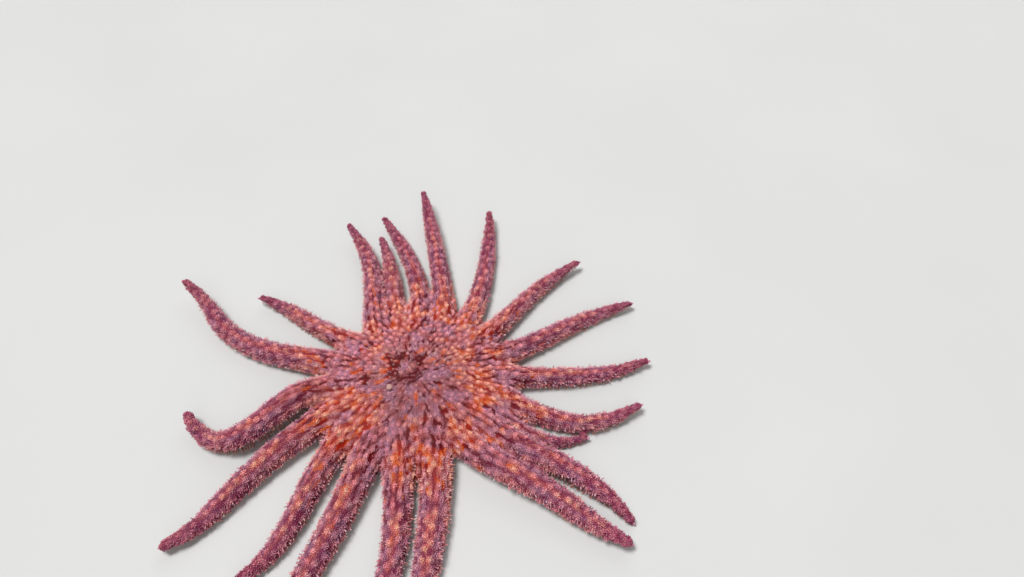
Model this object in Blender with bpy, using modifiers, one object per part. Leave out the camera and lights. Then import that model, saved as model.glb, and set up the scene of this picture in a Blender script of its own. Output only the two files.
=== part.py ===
"""Sunflower sea star (Pycnopodia helianthoides) at life size, lying on a level floor.

Metres, +Z up. The body is a domed disc that carries twenty arms. The dome and the arms are modelled
as overlapping shapes, and then parted by cuts 0.3 mm wide: a round one where the disc ends, one along
the web between each arm and the next, and one across each arm. The arms rest on the narrow flats on
both sides of their feet grooves, all at z = 0. The origin is on the floor, at the middle of the
star's bounding box.
"""

import math
from collections import namedtuple

import bmesh
import bpy
import numpy as np
from mathutils import Vector

# Disc
RIM_RADIUS = 0.100  # where the disc ends and the arms begin
DOME_HEIGHT = 0.049
DOME_RIM_HEIGHT = 0.0255  # between the arms, at the rim
DOME_POWER = 2.2  # how late the back falls off towards the rim
DOME_STEPS = 40
DOME_RINGS = 5
DOME_BRIM = 0.004  # how far shapes run on past the cut that is to end them
RIDGE_START = 0.050  # radius at which the arms' ridges begin, inside the dome
RIDGE_START_HEIGHT = 0.037
RIDGE_SOLE = 0.010  # height of the ridges' undersides, which lie inside the dome
RIDGE_GROOVE = 0.1  # of the groove's size, in those undersides

# Arms, for one of girth 1
HALF_WIDTH = 0.0178
ARM_HEIGHT = 0.0300
ROOT_HALF_WIDTH = 0.0225  # of every arm at the rim, where the arms are broad and close up
ROOT_HEIGHT = 0.0340
ROOT_SHARE = 0.26  # of the free arm, over which it comes down to its own girth
ROOT_POWER = 1.5  # how fast it does so
HEIGHT_IN_COMMON = 0.35  # share of the height that does not follow the arm's girth
WIDEST_AT = 0.30  # height of the widest point, as a share of the arm's height
FOOT_SHARE = 0.62  # half width of the sole, as a share of the arm's half width
GROOVE_HALF_WIDTH = 0.0042
GROOVE_DEPTH = 0.0055
GROOVE_SOLE_SHARE = 0.6  # the groove takes at most this share of the sole's width,
GROOVE_HEIGHT_SHARE = 0.4  # and this share of the arm's height
FURROW_START_SHARE = 0.35  # of the groove's size, where it begins at the mouth
FURROW_OVERCUT = 0.2  # of its depth, by which the cutter reaches below the floor
BACK_POINTS = 6  # on the arched back of one section
# How half width and height change along the free arm, from rim to tip, as shares of the two above.
TAPER_AT = (0.00, 0.12, 0.35, 0.60, 0.80, 0.92, 0.98, 1.00)
WIDTH_TAPER = (1.08, 1.06, 1.00, 0.86, 0.68, 0.53, 0.42, 0.20)
HEIGHT_TAPER = (1.08, 1.05, 0.94, 0.78, 0.60, 0.47, 0.38, 0.22)
STATION_AT = (0.06, 0.14, 0.23, 0.32, 0.41, 0.50, 0.60, 0.70, 0.80, 0.90, 0.975, 1.00)
SPLIT_STATION = 5  # the arm's two lengths meet at this one of the stations
BEND_AT = (0.00, 0.25, 0.50, 0.75, 1.00)  # where an arm's headings and lifts are given

# Small pieces
MOUTH_RADIUS = 0.024
MOUTH_DIMPLE = 0.008  # radius of the hollow round the mouth itself
MOUTH_THICKNESS = 0.0032
MOUTH_CLEARANCE = 0.0022  # from the floor
MOUTH_STEPS = 24
MADREPORITE_RADIUS = 0.0055
MADREPORITE_RISE = 0.0012
MADREPORITE_SOCKET = 0.0030
MADREPORITE_STEPS = 12
MADREPORITE_PLACE = (0.034, 217)  # distance from the disc's centre, and azimuth in degrees

# Cuts
GAP = 0.0003
CELL_RADIUS = 0.175  # the arms are parted from each other out to here
CELL_STEPS = 6
CUT_HEIGHT = 0.12
CUT_STEPS = 60

# root: azimuth where the arm leaves the disc. length: from there to the tip, along the floor.
# headings: the way the arm runs, at BEND_AT. lifts: clearance under the arm there, in millimetres.
Arm = namedtuple("Arm", "root length headings lifts girth")
ARMS = (
    Arm(-49, 0.224, (-41, -30, -32, -37, -23), (0, 4, 6, 4, 8), 1.00),
    Arm(-29, 0.212, (-36, -34, -27, -38, -55), (0, 5, 7, 5, 2), 0.88),
    Arm(-18, 0.132, (-38, -36, -24, 4, 20), (0, 0, 0, 0, 4), 0.60),
    Arm(-6, 0.197, (-28, -26, -10, 18, 32), (0, 0, 0, 3, 10), 0.78),
    Arm(8, 0.205, (4, 0, 4, 14, 24), (0, 0, 0, 0, 8), 0.78),
    Arm(24, 0.220, (22, 28, 32, 24, 12), (0, 0, 0, 0, 9), 0.80),
    Arm(41, 0.205, (44, 52, 50, 40, 30), (0, 0, 0, 3, 12), 0.78),
    Arm(58, 0.230, (64, 76, 84, 88, 94), (0, 0, 0, 4, 16), 0.80),
    Arm(74, 0.252, (88, 100, 102, 103, 107), (0, 0, 4, 12, 26), 0.82),
    Arm(91, 0.216, (94, 101, 112, 121, 124), (0, 0, 0, 4, 12), 0.78),
    Arm(108, 0.166, (104, 102, 103, 107, 114), (0, 0, 3, 8, 16), 0.76),
    Arm(125, 0.212, (110, 98, 102, 119, 130), (0, 0, 3, 8, 18), 0.84),
    Arm(144, 0.175, (148, 150, 146, 150, 164), (0, 0, 0, 2, 10), 0.76),
    Arm(163, 0.290, (165, 169, 153, 125, 150), (0, 0, 0, 6, 22), 0.90),
    Arm(182, 0.218, (190, 224, 219, 159, 112), (0, 18, 14, 0, 12), 0.98),
    Arm(201, 0.238, (212, 223, 231, 235, 204), (0, 0, 0, 0, 7), 1.00),
    Arm(220, 0.206, (236, 247, 254, 236, 212), (0, 0, 0, 0, 6), 0.90),
    Arm(242, 0.250, (253, 252, 247, 246, 254), (0, 0, 0, 0, 8), 1.00),
    Arm(264, 0.240, (272, 275, 262, 254, 262), (0, 0, 0, 0, 7), 0.92),
    Arm(288, 0.246, (278, 268, 264, 276, 290), (0, 0, 0, 0, 8), 1.00),
)
PATH_STEP = 0.002
CLIMB_REACH = 0.01  # share of the arm's length, before and behind, over which its climb is taken

FLESH = ((0.46, 0.17, 0.25), 0.55)
PALE_FLESH = ((0.72, 0.42, 0.42), 0.60)
PLATE = ((0.78, 0.66, 0.60), 0.75)


# The shape of an arm


def arm_path(arm):
    """Points along the middle of the arm's sole, from the rim to its tip, and the way it runs at each."""
    count = round(arm.length / PATH_STEP) + 1
    along = np.linspace(0, 1, count)
    heading = np.radians(np.interp(along, BEND_AT, arm.headings))
    step = arm.length / (count - 1)
    middle = (heading[1:] + heading[:-1]) / 2
    root = math.radians(arm.root)
    x = RIM_RADIUS * math.cos(root) + np.append(0, np.cumsum(np.cos(middle) * step))
    y = RIM_RADIUS * math.sin(root) + np.append(0, np.cumsum(np.sin(middle) * step))
    return along, np.stack([x, y, lift_at(arm, along)], 1), heading


def lift_at(arm, along):
    """The clearance under the arm, which eases from one given lift to the next."""
    last = len(BEND_AT) - 1
    place = np.clip(along, 0, 1) * last
    index = np.minimum(place.astype(int), last - 1)
    share = place - index
    ease = share * share * (3 - 2 * share)
    lifts = np.array(arm.lifts) / 1000
    return lifts[index] * (1 - ease) + lifts[index + 1] * ease


def arm_size(arm, along):
    """Half width and height of the arm at this share of its free length."""
    half_width = HALF_WIDTH * arm.girth * float(np.interp(along, TAPER_AT, WIDTH_TAPER))
    fullness = HEIGHT_IN_COMMON + (1 - HEIGHT_IN_COMMON) * arm.girth
    height = ARM_HEIGHT * fullness * float(np.interp(along, TAPER_AT, HEIGHT_TAPER))
    root = max(0, 1 - along / ROOT_SHARE) ** ROOT_POWER
    half_width += (ROOT_HALF_WIDTH - half_width) * root
    height += (ROOT_HEIGHT - height) * root
    return half_width, height


def section(half_width, height, groove=1.0):
    """One cross-section as (across, up) points: an arched back, a flat sole and the feet groove."""
    widest = WIDEST_AT * height
    turns = np.linspace(0, math.pi, BACK_POINTS)
    back = [(half_width * math.cos(a), widest + (height - widest) * math.sin(a)) for a in turns]
    foot = FOOT_SHARE * half_width
    lip = min(GROOVE_HALF_WIDTH, GROOVE_SOLE_SHARE * foot) * groove
    depth = min(GROOVE_DEPTH, GROOVE_HEIGHT_SHARE * height) * groove
    return back + [(-foot, 0), (-lip, 0), (0, depth), (lip, 0), (foot, 0)]


def placed(points, base, forward):
    """A section's points in space, square to the way the arm runs."""
    forward = Vector(forward).normalized()
    across = forward.cross(Vector((0, 0, 1))).normalized()
    rise = across.cross(forward)
    return [Vector(base) + across * a + rise * b for a, b in points]


def loft(name, rings):
    """A closed mesh object through rings of equally many points."""
    body = bmesh.new()
    rows = [[body.verts.new(point) for point in ring] for ring in rings]
    for row, after in zip(rows, rows[1:]):
        for i in range(len(row)):
            j = (i + 1) % len(row)
            body.faces.new((row[i], row[j], after[j], after[i]))
    body.faces.new(rows[0][::-1])
    body.faces.new(rows[-1])
    return finished(name, body)


def finished(name, body):
    """The bmesh as an object, with its faces pointing out."""
    bmesh.ops.recalc_face_normals(body, faces=body.faces)
    mesh = bpy.data.meshes.new(name)
    body.to_mesh(mesh)
    body.free()
    return bpy.data.objects.new(name, mesh)


def arm_rings(arm, shares):
    """Cross-sections of the free arm at these shares of its length."""
    along, points, heading = arm_path(arm)
    rings = []
    for share in shares:
        base = [float(np.interp(share, along, points[:, k])) for k in range(3)]
        turn = float(np.interp(share, along, heading))
        ends = np.clip((share - CLIMB_REACH, share + CLIMB_REACH), 0, 1)
        low, high = lift_at(arm, ends)
        climb = (high - low) / (arm.length * (ends[1] - ends[0]))
        forward = (math.cos(turn), math.sin(turn), float(climb))
        rings.append(placed(section(*arm_size(arm, share)), base, forward))
    return rings


def root_rings(arm, radii, sole=0.0, groove=1.0):
    """Cross-sections of the straight stretch of the arm that lies inside the disc."""
    root = math.radians(arm.root)
    forward = (math.cos(root), math.sin(root), 0)
    half_width, height = arm_size(arm, 0)
    rings = []
    for radius in radii:
        inward = max(0, (RIM_RADIUS - radius) / (RIM_RADIUS - RIDGE_START))
        tall = height + (RIDGE_START_HEIGHT - height) * inward - sole
        wide = half_width * min(1, radius / RIM_RADIUS)
        base = (radius * forward[0], radius * forward[1], sole)
        rings.append(placed(section(wide, tall, groove), base, forward))
    return rings


# The disc


def turned(name, profile, steps):
    """A solid turned about Z from (radius, height) points that run down its outer side."""
    mesh = bpy.data.meshes.new(name)
    edges = [(i, i + 1) for i in range(len(profile) - 1)]
    mesh.from_pydata([(radius, 0, height) for radius, height in profile], edges, [])
    solid = bpy.data.objects.new(name, mesh)
    screw = solid.modifiers.new("turn", "SCREW")
    screw.steps = screw.render_steps = steps
    screw.use_merge_vertices = True
    screw.merge_threshold = 0.00005
    return solid


def dome():
    """The disc's rounded back, down to the floor, with a brim for the rim cut to take off."""
    back = []
    for i in range(DOME_RINGS + 1):
        radius = RIM_RADIUS * i / DOME_RINGS
        fall = (DOME_HEIGHT - DOME_RIM_HEIGHT) * (radius / RIM_RADIUS) ** DOME_POWER
        back.append((radius, DOME_HEIGHT - fall))
    brim = RIM_RADIUS + DOME_BRIM
    return turned("dome", back + [(brim, DOME_RIM_HEIGHT - DOME_BRIM / 2), (brim, 0), (0, 0)], DOME_STEPS)


def furrows():
    """Cutters for the feet grooves that run under the disc, from the mouth into every arm."""
    body = bmesh.new()
    for arm in ARMS:
        root = math.radians(arm.root)
        forward = (math.cos(root), math.sin(root), 0)
        ends = []
        for radius, share in ((MOUTH_RADIUS - DOME_BRIM / 2, FURROW_START_SHARE), (RIM_RADIUS + DOME_BRIM, 1)):
            half, depth = GROOVE_HALF_WIDTH * share, GROOVE_DEPTH * share
            base = (radius * forward[0], radius * forward[1], 0)
            low = -FURROW_OVERCUT * depth
            flare = (1 + FURROW_OVERCUT) * half
            ends.append(placed([(-flare, low), (flare, low), (0, depth)], base, forward))
        near, far = ([body.verts.new(point) for point in end] for end in ends)
        for i in range(3):
            j = (i + 1) % 3
            body.faces.new((near[i], near[j], far[j], far[i]))
        body.faces.new(near[::-1])
        body.faces.new(far)
    return finished("furrows", body)


def cylinder(name, radius, low, high):
    body = bmesh.new()
    bmesh.ops.create_cone(
        body, cap_ends=True, segments=CUT_STEPS, radius1=radius, radius2=radius, depth=high - low
    )
    bmesh.ops.translate(body, verts=body.verts, vec=(0, 0, (high + low) / 2))
    return finished(name, body)


# The cuts


def azimuth_at(arm, radius):
    """The azimuth, in radians, at which the middle of the arm crosses a circle round the disc."""
    _, points, _ = arm_path(arm)
    first = int(np.argmax(np.hypot(points[:, 0], points[:, 1]) >= radius))
    return math.atan2(points[first, 1], points[first, 0])


def border(arm, after, radius, side):
    """A point of the cut between two arms, half a gap to one side of the middle between them."""
    a, b = azimuth_at(arm, radius), azimuth_at(after, radius)
    middle = a + ((b - a) % math.tau) / 2
    middle += side * GAP / 2 / radius
    return radius * math.cos(middle), radius * math.sin(middle)


def cell_cutter(index):
    """Everything out to CELL_RADIUS except the arm's own cell, as an upright block."""
    before, arm, after = (ARMS[(index + k) % len(ARMS)] for k in (-1, 0, 1))
    inner = RIM_RADIUS + GAP
    radii = np.linspace(inner, CELL_RADIUS, CELL_STEPS)
    right = [border(before, arm, r, +1) for r in radii]
    left = [border(arm, after, r, -1) for r in radii]
    start = math.atan2(left[-1][1], left[-1][0])
    sweep = (math.atan2(right[-1][1], right[-1][0]) - start) % math.tau
    outside = np.linspace(start, start + sweep, CUT_STEPS + 1)[1:-1]
    low = math.atan2(right[0][1], right[0][0])
    width = (math.atan2(left[0][1], left[0][0]) - low) % math.tau
    inside = np.linspace(low, low + width, 5)[1:-1]
    outline = left + [(CELL_RADIUS * math.cos(a), CELL_RADIUS * math.sin(a)) for a in outside]
    outline += right[::-1] + [(inner * math.cos(a), inner * math.sin(a)) for a in inside]
    body = bmesh.new()
    floor = body.faces.new([body.verts.new((x, y, -CUT_HEIGHT / 2)) for x, y in outline])
    raised = bmesh.ops.extrude_face_region(body, geom=[floor])["geom"]
    corners = [item for item in raised if isinstance(item, bmesh.types.BMVert)]
    bmesh.ops.translate(body, verts=corners, vec=(0, 0, CUT_HEIGHT))
    return finished(f"cell_{index + 1:02d}", body)


def boolean(target, other, operation, solver="EXACT"):
    modifier = target.modifiers.new(operation.lower(), "BOOLEAN")
    modifier.operation = operation
    modifier.solver = solver
    modifier.object = other


# The pieces


def disc_piece(rim, helpers):
    """The central disc: the dome and the arms' ridges, cut round at the rim and furrowed below."""
    disc = dome()
    disc.name = disc.data.name = "disc"
    for index, arm in enumerate(ARMS):
        radii = (RIDGE_START, RIM_RADIUS + DOME_BRIM)
        ridge = loft(f"ridge_{index + 1:02d}", root_rings(arm, radii, RIDGE_SOLE, RIDGE_GROOVE))
        helpers.objects.link(ridge)
        boolean(disc, ridge, "UNION", "MANIFOLD")
    boolean(disc, rim, "INTERSECT")
    recess = MOUTH_CLEARANCE + MOUTH_THICKNESS + GAP
    for cutter in (furrows(), cylinder("mouth_recess", MOUTH_RADIUS + GAP, -recess, recess)):
        helpers.objects.link(cutter)
        boolean(disc, cutter, "DIFFERENCE")
    return disc


def arm_pieces(index, helpers):
    """The inner and the outer length of one arm."""
    arm = ARMS[index]
    name = f"arm_{index + 1:02d}"
    split = STATION_AT[SPLIT_STATION]
    half_gap = GAP / 2 / arm.length
    root = root_rings(arm, (RIM_RADIUS - DOME_BRIM, RIM_RADIUS))
    inner = loft(f"{name}_inner", root + arm_rings(arm, STATION_AT[:SPLIT_STATION] + (split - half_gap,)))
    cell = cell_cutter(index)
    helpers.objects.link(cell)
    boolean(inner, cell, "DIFFERENCE")
    outer = loft(f"{name}_outer", arm_rings(arm, (split + half_gap,) + STATION_AT[SPLIT_STATION + 1 :]))
    return inner, outer


def mouth_piece():
    """The soft skin round the mouth, on the underside, with a dimple at the mouth itself."""
    low, high = MOUTH_CLEARANCE, MOUTH_CLEARANCE + MOUTH_THICKNESS
    profile = [
        (0, high),
        (MOUTH_RADIUS, high),
        (MOUTH_RADIUS, low + MOUTH_THICKNESS / 3),
        (MOUTH_RADIUS - MOUTH_THICKNESS, low),
        (MOUTH_DIMPLE, low),
        (MOUTH_DIMPLE / 2, low + MOUTH_THICKNESS / 2),
        (0, low + MOUTH_THICKNESS / 2),
    ]
    return turned("mouth", profile, MOUTH_STEPS)


def place_on_dome(obj, distance, azimuth):
    """Stands the object on the dome, leaning with its slope."""
    turn = math.radians(azimuth)
    fall = (DOME_HEIGHT - DOME_RIM_HEIGHT) * (distance / RIM_RADIUS) ** DOME_POWER
    slope = DOME_POWER * fall / distance
    obj.location = (distance * math.cos(turn), distance * math.sin(turn), DOME_HEIGHT - fall)
    normal = Vector((slope * math.cos(turn), slope * math.sin(turn), 1))
    obj.rotation_mode = "QUATERNION"
    obj.rotation_quaternion = normal.to_track_quat("Z", "Y")


def madreporite_piece(disc, helpers):
    """The sieve plate, a low button set in a round socket in the disc's back."""
    top = MADREPORITE_RISE
    floor = -MADREPORITE_SOCKET
    radius = MADREPORITE_RADIUS
    profile = [(0, top), (0.6 * radius, 0.85 * top), (0.9 * radius, 0.4 * top), (radius, 0), (radius, floor)]
    plate = turned("madreporite", profile + [(0, floor)], MADREPORITE_STEPS)
    place_on_dome(plate, *MADREPORITE_PLACE)
    socket = cylinder("socket", radius + GAP, floor - GAP, 4 * top)
    place_on_dome(socket, *MADREPORITE_PLACE)
    helpers.objects.link(socket)
    boolean(disc, socket, "DIFFERENCE")
    return plate


# Building


def material(name, colour, roughness):
    made = bpy.data.materials.new(name)
    made.use_nodes = True
    shader = made.node_tree.nodes["Principled BSDF"]
    shader.inputs["Base Color"].default_value = (*colour, 1)
    shader.inputs["Roughness"].default_value = roughness
    shader.inputs["Metallic"].default_value = 0
    return made


def clear_scene():
    for obj in list(bpy.data.objects):
        bpy.data.objects.remove(obj)


def new_collection(name):
    made = bpy.data.collections.new(name)
    bpy.context.scene.collection.children.link(made)
    return made


def centre_on_floor(pieces):
    """Moves everything so that the origin is below the middle of the whole star."""
    bpy.context.view_layer.update()
    graph = bpy.context.evaluated_depsgraph_get()
    corners = []
    for piece in pieces:
        evaluated = piece.evaluated_get(graph)
        corners += [evaluated.matrix_world @ Vector(corner) for corner in evaluated.bound_box]
    spans = [(min(c[k] for c in corners), max(c[k] for c in corners)) for k in range(2)]
    shift = Vector([-(low + high) / 2 for low, high in spans] + [0])
    for obj in bpy.data.objects:
        if obj.parent is None:
            obj.location += shift


def build():
    clear_scene()
    star = new_collection("sunflower_sea_star")
    helpers = new_collection("cutters")
    rim = cylinder("rim_cut", RIM_RADIUS, -CUT_HEIGHT / 2, CUT_HEIGHT / 2)
    helpers.objects.link(rim)
    disc = disc_piece(rim, helpers)
    flesh = [disc]
    for index in range(len(ARMS)):
        flesh += arm_pieces(index, helpers)
    plate = madreporite_piece(disc, helpers)
    mouth = mouth_piece()
    looks = [(piece, material(piece.name, *FLESH)) for piece in flesh]
    looks += [(mouth, material("mouth", *PALE_FLESH)), (plate, material("madreporite", *PLATE))]
    for piece, look in looks:
        star.objects.link(piece)
        piece.data.materials.clear()
        piece.data.materials.append(look)
        piece.data.shade_smooth()
        piece.data.set_sharp_from_angle(angle=math.radians(40))
    for helper in helpers.objects:
        helper.hide_render = True
        helper.display_type = "WIRE"
    centre_on_floor([piece for piece, _ in looks])


build()
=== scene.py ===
"""The looks of a sunflower sea star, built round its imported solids.

One skin, remeshed from all the flesh solids, lies inside them by the depth of the coat. The coat is
made of small solid pieces planted on the skin: soft gills (papulae), knobs (pedicellariae), spines
and tube feet. Each point's arm, and how far out along it and round it the point lies, give its shapes
and colours, so skin and coat carry the same markings. Metres, +Z up, in the frame of the solids.
"""

import itertools
import math
from collections import namedtuple

import bmesh
import bpy
import numpy as np
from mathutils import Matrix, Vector
from mathutils.bvhtree import BVHTree
from mathutils.kdtree import KDTree


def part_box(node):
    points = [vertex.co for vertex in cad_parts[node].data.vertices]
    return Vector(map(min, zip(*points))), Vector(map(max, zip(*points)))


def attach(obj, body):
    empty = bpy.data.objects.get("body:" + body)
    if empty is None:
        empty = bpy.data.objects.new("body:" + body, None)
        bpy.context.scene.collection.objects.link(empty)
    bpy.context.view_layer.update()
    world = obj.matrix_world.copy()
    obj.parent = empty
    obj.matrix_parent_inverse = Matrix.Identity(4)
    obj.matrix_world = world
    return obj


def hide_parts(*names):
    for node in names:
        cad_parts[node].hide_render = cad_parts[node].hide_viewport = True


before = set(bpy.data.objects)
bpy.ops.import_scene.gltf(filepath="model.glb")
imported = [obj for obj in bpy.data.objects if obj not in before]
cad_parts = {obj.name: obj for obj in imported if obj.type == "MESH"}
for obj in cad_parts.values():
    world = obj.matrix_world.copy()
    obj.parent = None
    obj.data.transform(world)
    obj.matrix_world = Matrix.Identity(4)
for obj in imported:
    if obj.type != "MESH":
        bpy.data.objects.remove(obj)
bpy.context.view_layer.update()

MM = 0.001
ARMS = 20
UP = np.array((0.0, 0.0, 1.0))

# Body
CLOSE_UP = 0.35 * MM  # each solid is fattened by this, so that the thin cuts between them close
VOXEL = 1.8 * MM
COAT_DEPTH = 2.6 * MM  # from the solids' surface in to the skin
SOLE_DEPTH = 1.6 * MM  # the same, on the underside
TIP_REACH = 16 * MM  # over this length the coat grows in from an arm's tip
FACET_ROUNDS = 26  # of smoothing, which take the solids' facets away
LINE_STEP = 2 * MM
INWARD_STEPS = 24  # of an arm's line, from the disc's centre to the groove's first fold
GROOVE_FOLD = -1.0  # radians; the edge along the top of a feet groove folds more sharply than this
FACING_DOWN = -0.2

# Camera and light
CAMERA_OFFSET = (0.12110647, -0.44682168, 0.76086998)  # from the disc's centre
CAMERA_PITCH = 50.947  # degrees below the horizon
LIGHTS = (  # name, where it shines from, its width in degrees, watts per square metre
    ("key", (-0.36, 0.10, 1.05), 24, 3.4),
    ("fill", (0.2, -1.1, 0.9), 50, 0.7),
    ("back", (0.3, 1.2, 0.8), 50, 0.7),
)
SKY_LOW = 0.76  # the studio's walls are as bright as its floor
SKY_HIGH = 0.17
WALL_HEIGHT = 0.35  # as the sine of the angle above the horizon
FLOOR_SIZE = 200.0

# Coat
SEED = 20
CROWD = 4.0  # points tried in each square of the spacing, before those too near to another go
SEAT_SPACING = 5.4 * MM  # between the spines of the back, across the body; it is wider along it
BUMP_HEIGHT = 1.8 * MM  # of the skin under each spine
ROOTED = 0.5 * MM  # how deep a peg's foot is sunk in the skin
OFF_FLOOR = 0.15 * MM
PAPULA_SPACING = 1.5 * MM
WREATH_KNOBS = 6
WREATH_RADIUS = 1.5 * MM
SIDE_PITCH = 3.4 * MM
SIDE_START = 1.06  # radii of the disc, from its centre
SIDE_TURNS = (1.55, 1.95)  # radians from an arm's ridge
SOLE_SPACING = 4.4 * MM
FOOT_PITCH = 3.3 * MM
FOOT_START = 0.34  # radii of the disc, from its centre
FOOT_ROWS = ((5.5 * MM, 0.8 * MM), (10.0 * MM, 1.6 * MM))  # how far out a foot reaches, and its root
FOOT_END = 0.6 * MM  # above the floor
FOOT_ROOT_DEPTH = 2.2 * MM  # from the fold of the solids' groove down to the skin's
FOOT_DROP = 13 * MM  # the most that a foot reaches down
FOOT_KNOTS = ((0, 0), (0.5, 0.3), (0.8, 0.62), (0.93, 0.88), (1, 1.02))  # shares of the way down and out
PIECE_LIMIT = 190000  # triangles

# Each bit of the coat is a peg: rings with this many sides at all its heights but the last, which is a
# point. Girths are the rings' shares of its radius. Its colour goes from root to tip with height**fade.
Peg = namedtuple("Peg", "length radius sides heights girths fade", defaults=(1.3,))
PAPULA = Peg(2.6 * MM, 0.74 * MM, 3, (0, 0.5, 0.88, 1), (0.85, 1.0, 0.72))
KNOB = Peg(2.0 * MM, 0.62 * MM, 4, (0, 0.7, 1), (0.8, 1.0))
BACK_SPINE = Peg(3.4 * MM, 0.62 * MM, 4, (0, 0.5, 0.9, 1), (0.9, 0.8, 1.1))
SIDE_SPINE = Peg(5.0 * MM, 0.55 * MM, 4, (0, 0.5, 0.9, 1), (1.0, 0.85, 1.15))
SOLE_SPINE = Peg(3.2 * MM, 0.6 * MM, 4, (0, 0.7, 1), (1.0, 0.8))
TUBE_FOOT = Peg(None, 1.05 * MM, 4, (0, 0.25, 0.5, 0.78, 1), (1.0, 0.9, 0.8, 1.25), fade=3)

# The unwrap: strips for the arms in two rows, and over them the disc's back and its underside
STRIPS = 10  # in each row
HALF_STRIP = 0.46
STRIP_STEP = 0.36
STRIP_LENGTH = 0.34
STRIP_MARGIN = 0.01
LONGEST_ARM = 0.30  # that a strip has room for, from the rim
FLAT_DISC = 0.13
BACK_AT = (0.15, 0.86)
UNDERSIDE_AT = (0.45, 0.86)
PATCH = 0.003  # across, for one peg

# Single pieces
PLATE_CROWN = 1.2 * MM
PLATE_SHARE = 0.6  # of the solid plate's radius; the coat closes over the rest of it
PLATE_WINDING = 0.42 * MM  # across the grooves, for each radian of their wave
PLATE_RELIEF = 0.35 * MM
MOUTH_ROOM = 26 * MM
MOUTH_SPINE_TURNS = (-0.09, 0.09)  # radians from the way to each arm
MOUTH_SPINE_RADII = (0.8, 0.7, 0.5)  # in millimetres, like those below
MOUTH_FOLDS = 20
TIP_RADII = (1.3, 1.6, 1.4, 0.8)
EYE_RADII = (0.5, 0.75, 0.5)

BEAD = (0.92, 0.74, 0.74)
ARM_END = (0.52, 0.20, 0.32)
EYE = (0.45, 0.02, 0.02)
# The tube feet's shafts: partly their own colour and partly painted shade, darkened so the feet under the
# arms look shadowed
FOOT_SHAFT_AND_SHADE = (0.44, 0.17, 0.17)
FOOT_SUCKER = (0.80, 0.50, 0.42)
# Painted shade for the dark of the mouth's opening, which is only a dip in the membrane
MOUTH_HOLE_SHADE = (0.10, 0.02, 0.02)
MOUTH_SPINE = (0.76, 0.44, 0.38)


# Numbers


def unit(vectors):
    """Each row at length 1."""
    return vectors / np.maximum(np.linalg.norm(vectors, axis=-1, keepdims=True), 1e-12)


def ramp(low, high, value):
    """0 below low, 1 above high, with a smooth rise between them."""
    share = np.clip((value - low) / (high - low), 0, 1)
    return share * share * (3 - 2 * share)


def mix(first, second, share):
    """From first to second as share goes from 0 to 1; colours are rows of three."""
    share = np.asarray(share, float)
    if np.ndim(first) and np.shape(first)[-1] == 3 and share.ndim and share.shape[-1:] != (3,):
        share = share[:, None]
    return first + (np.asarray(second) - first) * share


def slimmed(least, length, to_tip):
    """Full size over most of an arm, and down to the least share over this length before its tip."""
    return mix(least, 1, ramp(0, length, to_tip))


def hashed(cells, seed):
    """A repeatable random number from 0 to 1 for each whole-number cell."""
    whole = (cells & 0xFFFFFFFF).astype(np.uint64)
    code = whole[..., 0] * 73856093 ^ whole[..., 1] * 19349663 ^ whole[..., 2] * 83492791
    code = (code ^ np.uint64(seed * 2654435761 % 2**32)) & 0xFFFFFFFF
    code = (code ^ (code >> 15)) * 2246822519 & 0xFFFFFFFF
    code = (code ^ (code >> 13)) * 3266489917 & 0xFFFFFFFF
    return ((code ^ (code >> 16)) & 0xFFFFFF) / 0xFFFFFF


def noise(points, size, seed):
    """Smooth noise from 0 to 1 whose features are about size across."""
    place = points / size
    low = np.floor(place).astype(np.int64)
    share = ramp(0, 1, place - low)
    total = np.zeros(len(points))
    for corner in itertools.product((0, 1), repeat=3):
        weight = np.prod(np.where(corner, share, 1 - share), axis=1)
        total += weight * hashed(low + corner, seed)
    return total


def flow_noise(places, size, length, seed, steps=5):
    """Noise drawn out along the body: features are size wide and about length long."""
    offsets = np.linspace(-0.5, 0.5, steps) * length
    return sum(noise(places.at + places.flow * o, size, seed) for o in offsets) / steps


# Body lines


def welded(node):
    """A solid's mesh with its faces joined at their corners, for editing."""
    solid = bmesh.new()
    solid.from_mesh(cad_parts[node].data)
    bmesh.ops.remove_doubles(solid, verts=solid.verts, dist=0.01 * MM)
    solid.normal_update()
    return solid


def fold_points(node):
    """Corners along the top of the feet groove in one of an arm's solids."""
    solid = welded(node)
    sharp = [e for e in solid.edges if e.is_manifold and e.calc_face_angle_signed() < GROOVE_FOLD]
    chains = []
    for edge in sharp:
        if all(face.normal.z < FACING_DOWN for face in edge.link_faces):
            joined = [chain for chain in chains if chain & set(edge.verts)]
            chains = [chain for chain in chains if chain not in joined]
            chains.append(set(edge.verts).union(*joined))
    points = [vertex.co.copy() for vertex in max(chains, key=len)]
    solid.free()
    return points


def in_order(points, start):
    """The points as one walk, each time on to the nearest that is left."""
    left = list(points)
    walk = [min(left, key=lambda p: (p - start).length)]
    left.remove(walk[0])
    while left:
        step = min(left, key=lambda p: (p - walk[-1]).length)
        left.remove(step)
        if (step - walk[-1]).length > MM:
            walk.append(step)
    return np.array(walk)


def between(places, known, rows):
    """Rows of three, given at the known places along a line, at these places along it."""
    return np.stack([np.interp(places, known, column) for column in rows.T], 1)


def evenly(points, step):
    """The same line with corners rounded and points step apart, and the length to each."""
    for _ in range(2):
        length = np.append(0, np.cumsum(np.linalg.norm(np.diff(points, axis=0), axis=1)))
        count = max(8, round(length[-1] / step))
        along = np.linspace(0, length[-1], count)
        points = between(along, length, points)
        for _ in range(8):
            points[1:-1] = (points[:-2] + 2 * points[1:-1] + points[2:]) / 4
    return points, along


Arm = namedtuple("Arm", "line reach forward")


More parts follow.
